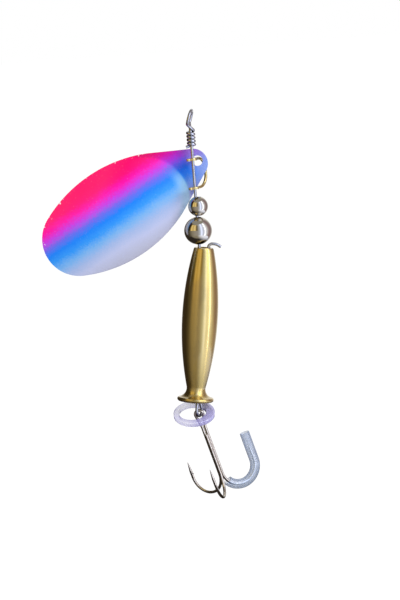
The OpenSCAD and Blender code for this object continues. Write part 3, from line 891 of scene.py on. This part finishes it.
def prong(shank, way, gap, wire_d):
    """Route of one prong, from its tip down round the bend to the shank."""
    out = Vector(shank) + gap * Vector((math.cos(math.radians(way)), math.sin(math.radians(way)), 0))
    low, tip = wire_d / 2 - HOOK_DROP, POINT_RISE - HOOK_DROP
    return [(out + Vector((0, 0, tip)), 0), (out + Vector((0, 0, low)), gap / 2),
            (Vector(shank) + Vector((0, 0, low)), gap / 2)]


def pointed(tips, wire_d):
    """Radius of a hook wire at a point: full along the wire, and ground to a needle at its tips."""

    def radius_at(point):
        near = min((point - tip).length for tip in tips)
        share = min(1.0, near / POINT_LEN)
        return wire_d / 2 * (0.07 + 0.93 * share ** 0.75)

    return radius_at


def with_tips(points, at_start, at_end):
    """Adds points along the ground tips, where the wire tapers."""
    steps = [0.12, 0.3, 0.6, 1.0, 1.5, 2.05, POINT_LEN]
    if at_start:
        way = (points[1] - points[0]).normalized()
        points = [points[0]] + [points[0] + s * way for s in steps] + points[1:]
    if at_end:
        way = (points[-2] - points[-1]).normalized()
        points = points[:-1] + [points[-1] + s * way for s in reversed(steps)] + [points[-1]]
    return points


def barb(shank, way, gap, wire_d):
    """A sliver of wire raised with a chisel on a prong's inner side."""
    root = POINT_RISE - HOOK_DROP - POINT_LEN
    half = wire_d / 2
    outline = [(half * 0.55, 0.75), (half * 0.55, -0.75), (-half - 0.4, -0.72), (-half * 0.5, -0.2),
               (-half * 0.1, 0.6)]
    obj = plate("barb", outline, -half * 0.32, half * 0.32)
    break_edges(obj, 0.05, 40)
    smooth(obj)
    put(obj, Matrix.Translation(Vector(shank) * MM) @ Matrix.Rotation(math.radians(way), 4, "Z")
        @ Matrix.Translation(Vector((gap, 0, root)) * MM) @ Matrix.Rotation(math.pi / 2, 4, "X"))
    return obj


class MakeHook(bpy.types.Operator):
    """Bends the treble hook: the doubled wire with its eye, the third wire, their barbs and the brazed seam."""

    bl_idname = "spinner.make_hook"
    bl_label = "Treble hook"

    def execute(self, context):
        sizes = context.scene.spinner_sizes
        wire_d, gap = sizes.hook_wire / MM, sizes.hook_gap / MM
        half = wire_d / 2 + SHANK_GAP
        way = math.radians(RIGHT_WAY)
        foot = hook_place() @ Vector((half * MM, 0, 0)) / MM
        towards = hook_place().to_3x3() @ Vector((math.cos(way), math.sin(way), 0))
        plating = hook_plating(context.scene.spinner_colours, foot, towards)
        eye_r = HOOK_EYE_BORE / 2 + wire_d / 2
        reach = EYE_CLOSE + wire_d / 2
        tangent = math.degrees(math.acos(eye_r / math.hypot(half, reach)) - math.atan2(reach, half))
        eye = [(Vector((x, 0, wire_d / 2 + z)), 0) for x, z in arc((0, 0), eye_r, 180 - tangent, tangent, 24)]
        left, right = Vector((-half, 0, 0)), Vector((half, 0, 0))
        left_prong, right_prong = prong(left, LEFT_WAY, gap, wire_d), prong(right, RIGHT_WAY, gap, wire_d)
        closing = Vector((0, 0, EYE_CLOSE))
        route = (left_prong + [(left - closing, 3 * eye_r)] + eye + [(right - closing, 3 * eye_r)]
                 + right_prong[::-1])
        points = with_tips(bent(route, 6), True, True)
        double = wire("hook_double", points, wire_d, pointed([points[0], points[-1]], wire_d))
        join(double, barb(left, LEFT_WAY, gap, wire_d), barb(right, RIGHT_WAY, gap, wire_d))
        shank = Vector((0, -math.sqrt(3) * half - SHANK_GAP, 0))
        route = prong(shank, THIRD_WAY, gap, wire_d) + [(shank - Vector((0, 0, EYE_CLOSE + 2.0)), 0)]
        points = with_tips(bent(route, 6), True, False)
        third = wire("hook_third", points, wire_d, pointed([points[0]], wire_d))
        join(third, barb(shank, THIRD_WAY, gap, wire_d))
        for obj, node in ((double, "treble_double"), (third, "treble_third")):
            put(obj, hook_place())
            finish_piece(obj, plating, "hook", "hook_nickel", node)
        seam = frame["nodes"]["shank_braze"]
        seam.data.materials.clear()
        seam.data.materials.append(brazed_seam(context.scene.spinner_colours))
        return {"FINISHED"}


class MakeVinyl(bpy.types.Operator):
    """Cuts the clear vinyl ring and the tube over the right point."""

    bl_idname = "spinner.make_vinyl"
    bl_label = "Vinyl ring and tube"

    def execute(self, context):
        sizes = context.scene.spinner_sizes
        colours = context.scene.spinner_colours
        outer, under = sizes.ring / MM / 2, -RING_THICK / 2 * MM
        only()
        bpy.ops.mesh.primitive_circle_add(vertices=128, radius=outer * MM,
                                          location=(RING_OFFSET * MM, 0, under))
        ring = added("vinyl_ring")
        only()
        bpy.ops.mesh.primitive_circle_add(vertices=128, radius=RING_BORE * MM, location=(0, 0, under))
        join(ring, context.object)
        only(ring)
        bpy.ops.object.transform_apply(location=True, rotation=True, scale=True)
        edit(ring)
        bpy.ops.mesh.bridge_edge_loops()
        bpy.ops.mesh.select_all(action="SELECT")
        bpy.ops.mesh.extrude_region_move(TRANSFORM_OT_translate={"value": (0, 0, RING_THICK * MM)})
        close_edit()
        tidy_shell(ring)
        break_edges(ring, 0.22, 50, 4)
        smooth(ring, 60)
        axis = joint_axis("ring_turn")
        put(ring, Matrix.Translation(joint_at("ring_turn") * MM)
            @ Matrix.Rotation(math.atan2(-axis.y, axis.z), 4, "X"))
        ring_vinyl = clear_vinyl("ring_vinyl", colours.ring, 0.5, 0.16, 0.9, joint_at("ring_turn"), 0.36)
        finish_piece(ring, ring_vinyl, "ring", "ring_vinyl", "hook_ring")

        wire_d, gap = sizes.hook_wire / MM, sizes.hook_gap / MM
        bend, low = gap / 2, wire_d / 2 - HOOK_DROP
        free_end = POINT_RISE - HOOK_DROP + TUBE_PAST - low - bend
        path = [Vector((bend - x, 0, low + bend - z)) for x, z in arc((0, 0), bend, TUBE_START, 180, 37)]
        path += [Vector((gap, 0, low + bend + z)) for z in (0.6, 1.6, 2.8, 4.2, 5.5, free_end)]
        tube = wire("vinyl_tube", path, sizes.tube / MM, sides=28, capped=False)
        modify(tube, "SOLIDIFY", thickness=TUBE_WALL * MM, offset=-1, use_rim=True)
        break_edges(tube, 0.07, 60)
        smooth(tube, 60)
        place = (hook_place() @ Matrix.Translation(Vector((wire_d / 2 + SHANK_GAP, 0, 0)) * MM)
                 @ Matrix.Rotation(math.radians(RIGHT_WAY), 4, "Z"))
        put(tube, place)
        skin = clear_vinyl("tube_vinyl", colours.tube, 0.6, 0.44, 0.9)
        bore = clear_vinyl("tube_bore", colours.tube, 0.6, 0.03, 0.3)
        finish_piece(tube, [skin, bore], "hook", "tube_vinyl", "hook_tube")
        # Clear vinyl lets the light through to the wire in it
        tube.visible_shadow = tube.visible_diffuse = tube.visible_glossy = False
        route = [place @ (point * MM) for point in path]
        for face in tube.data.polygons:  # those that face the tube's own line are its bore
            nearest = min(route, key=lambda point: (point - face.center).length)
            face.material_index = int(face.normal.dot(face.center - nearest) < 0)
        return {"FINISHED"}


# Stage

# Tones of the curved cards, each at a bearing round the object in degrees: 0 towards the camera, 90 to the right
WALL_TONES = [
    (-170, (0.80, 0.79, 0.77)), (-163, (0.45, 0.43, 0.41)), (-152, (0.05, 0.04, 0.03)),
    (-100, (0.05, 0.04, 0.03)), (-78, (0.13, 0.11, 0.075)), (-50, (0.38, 0.34, 0.27)),
    (-24, (0.50, 0.46, 0.40)), (-6, (0.48, 0.45, 0.45)), (8, (0.62, 0.66, 0.76)),
    (18, (0.85, 0.96, 1.25)), (25, (1.5, 1.7, 2.5)), (33, (1.5, 1.7, 2.5)), (40, (0.85, 0.95, 1.25)),
    (47, (1.0, 1.1, 1.5)), (55, (1.1, 1.2, 1.6)), (66, (1.2, 1.3, 1.7)), (76, (1.1, 1.15, 1.3)),
    (90, (0.60, 0.51, 0.55)), (110, (0.36, 0.25, 0.29)), (132, (0.42, 0.36, 0.38)),
    (150, (0.75, 0.73, 0.74)),
]
WARM_TONES = [
    (-100, (0.04, 0.03, 0.02)), (-72, (0.05, 0.04, 0.02)), (-65, (0.5, 0.36, 0.12)),
    (-58, (1.4, 1.05, 0.42)), (-42, (0.85, 0.62, 0.20)), (-26, (1.4, 1.1, 0.52)),
    (-17, (0.6, 0.45, 0.16)), (-10, (0.14, 0.10, 0.05)), (-3, (0.36, 0.32, 0.26)),
    (4, (0.56, 0.56, 0.60)),
]
STRIP_TONES = [
    (58, (4.4, 4.5, 5.2)), (64, (4.4, 4.5, 5.2)),
]


def show_to_gloss_only(obj, finish, tint):
    """Makes obj a glowing studio card that only mirrors and gloss can see."""
    shader = finish.add("ShaderNodeEmission", {}, {"Color": tint, "Strength": 1.0})
    finish.add("ShaderNodeOutputMaterial", {}, {"Surface": shader})
    obj.data.materials.append(finish.material)
    obj.visible_camera = obj.visible_diffuse = obj.visible_shadow = obj.visible_transmission = False


def curved_card(name, reach, ways, heights, stops):
    """An upright studio card curved round the object, its sides in degrees, graded from side to side."""
    only()
    bpy.ops.mesh.primitive_grid_add(x_subdivisions=64, y_subdivisions=4, size=1)
    obj = added(name)
    for vertex in obj.data.vertices:
        way = math.radians(ways[0] + (ways[1] - ways[0]) * (vertex.co.x + 0.5))
        lift = heights[0] + (heights[1] - heights[0]) * (vertex.co.y + 0.5)
        vertex.co = (reach * math.sin(way), -reach * math.cos(way), lift)
    finish = Finish(name)
    sideways = finish.along(finish.add("ShaderNodeTexCoord", output="UV"), (1, 0, 0))
    stops = [((way - ways[0]) / (ways[1] - ways[0]), tint) for way, tint in stops]
    show_to_gloss_only(obj, finish, finish.ramp(sideways, stops))


def flat_card(name, half, height):
    """A level studio card over or under the object."""
    only()
    bpy.ops.mesh.primitive_plane_add(size=2 * half, location=(0, 0, height))
    return added(name)


class MakeStage(bpy.types.Operator):
    """Lays the pale floor, the soft lights, the studio cards and the camera."""

    bl_idname = "spinner.make_stage"
    bl_label = "Stage"

    def execute(self, context):
        only()
        bpy.ops.mesh.primitive_plane_add(size=6, location=(0, 0, 0))
        floor = added("floor")
        put(floor, Matrix.Translation((0, 0, SOLIDS_BOX[0][2] - 0.004)))
        finish = Finish("pale_floor")
        plain = finish.add("ShaderNodeBsdfDiffuse", {}, {"Color": (0.86, 0.86, 0.86)})
        glow = finish.add("ShaderNodeEmission", {}, {"Color": (1, 1, 1), "Strength": 1.12})
        both = finish.add("ShaderNodeMixShader", {}, {0: 0.85 * finish.seen(), 1: plain, 2: glow})
        finish.add("ShaderNodeOutputMaterial", {}, {"Surface": both})
        floor.data.materials.append(finish.material)

        world = bpy.data.worlds.new("studio")
        context.scene.world = world
        finish = Finish("studio", world)
        strength = finish.add("ShaderNodeMapRange", {}, {"Value": finish.seen(), "To Min": 0.54, "To Max": 1.0})
        sky = finish.add("ShaderNodeBackground", {}, {"Color": (1, 1, 1), "Strength": strength})
        finish.add("ShaderNodeOutputWorld", {}, {"Surface": sky})

        middle = Vector((-0.008, 0, -0.046))
        for name, at, size, power in (("key_light", (0.30, -0.26, 0.2), 0.22, 1.2),
                                      ("fill_light", (-0.34, -0.3, 0.1), 0.3, 0.6)):
            light = bpy.data.lights.new(name, "AREA")
            light.size, light.energy = size, power
            lamp = bpy.data.objects.new(name, light)
            context.scene.collection.objects.link(lamp)
            lamp.location = at
            lamp.visible_glossy = name == "key_light"
            lamp.rotation_euler = (middle - Vector(at)).to_track_quat("-Z", "Y").to_euler()

        ground = SOLIDS_BOX[0][2]
        curved_card("wall_card", 0.1, (-170, 150), (ground - 0.003, 0.12), WALL_TONES)
        curved_card("warm_card", 0.098, (-100, 4), (-0.02, 0.085), WARM_TONES)
        curved_card("strip_card", 0.097, (58, 64), (ground - 0.003, 0.1), STRIP_TONES)
        finish = Finish("low_card")
        right, front = (finish.along(finish.place(), way) for way in ((1, 0, 0), (0, -1, 0)))
        dark = finish.mix(front.between(24, 56), (0.04, 0.032, 0.028), (0.40, 0.36, 0.28))
        tint = finish.mix((right + 0.4 * front).between(8, 80), dark, (1.4, 1.5, 1.9))
        show_to_gloss_only(flat_card("low_card", 0.1, ground - 0.002), finish, tint)
        show_to_gloss_only(flat_card("roof_card", 0.1, 0.12), Finish("roof_card"), (0.42, 0.41, 0.38))

        lens = bpy.data.cameras.new("photo_camera")
        lens.lens, lens.sensor_width, lens.clip_start = 200, 36, 0.01
        camera = bpy.data.objects.new("photo_camera", lens)
        context.scene.collection.objects.link(camera)
        tall, lift, roll = 0.15, math.radians(6.5), math.radians(4.38)
        distance = tall * lens.lens / lens.sensor_width
        aim = Vector((-0.00085, 0, -0.0455))
        back = Vector((0, -math.cos(lift), math.sin(lift)))
        right = Vector((1, 0, 0))
        up = back.cross(right)
        tipped_right = math.cos(roll) * right - math.sin(roll) * up
        tipped_up = math.sin(roll) * right + math.cos(roll) * up
        camera.matrix_world = Matrix.Translation(aim + distance * back) @ Matrix(
            (tipped_right, tipped_up, back)).transposed().to_4x4()
        context.scene.camera = camera
        context.scene.view_settings.view_transform = "Standard"
        return {"FINISHED"}


PIECES = (MakeStage, MakeShaft, MakeClevis, MakeBlade, MakeBeads, MakeBody, MakeHook, MakeVinyl)


class SpinnerPanel(bpy.types.Panel):
    """Lists the spinner's pieces in the sidebar."""

    bl_idname = "VIEW3D_PT_spinner"
    bl_label = "Inline spinner"
    bl_space_type = "VIEW_3D"
    bl_region_type = "UI"
    bl_category = "Spinner"

    def draw(self, context):
        for group in (context.scene.spinner_sizes, context.scene.spinner_colours):
            box = self.layout.box()
            for name in group.__annotations__:
                box.prop(group, name)
        for piece in PIECES:
            self.layout.operator(piece.bl_idname)


CLASSES = (SpinnerSizes, SpinnerColours, *PIECES, SpinnerPanel)


def register():
    for each in CLASSES:
        bpy.utils.register_class(each)
    bpy.types.Scene.spinner_sizes = PointerProperty(type=SpinnerSizes)
    bpy.types.Scene.spinner_colours = PointerProperty(type=SpinnerColours)


def unregister():
    del bpy.types.Scene.spinner_colours
    del bpy.types.Scene.spinner_sizes
    for each in reversed(CLASSES):
        bpy.utils.unregister_class(each)


def main():
    register()
    bpy.ops.spinner.make_stage()
    bpy.ops.spinner.make_shaft()
    bpy.ops.spinner.make_clevis()
    bpy.ops.spinner.make_blade()
    bpy.ops.spinner.make_beads()
    bpy.ops.spinner.make_body()
    bpy.ops.spinner.make_hook()
    bpy.ops.spinner.make_vinyl()
    only()


if __name__ == "__main__":
    main()
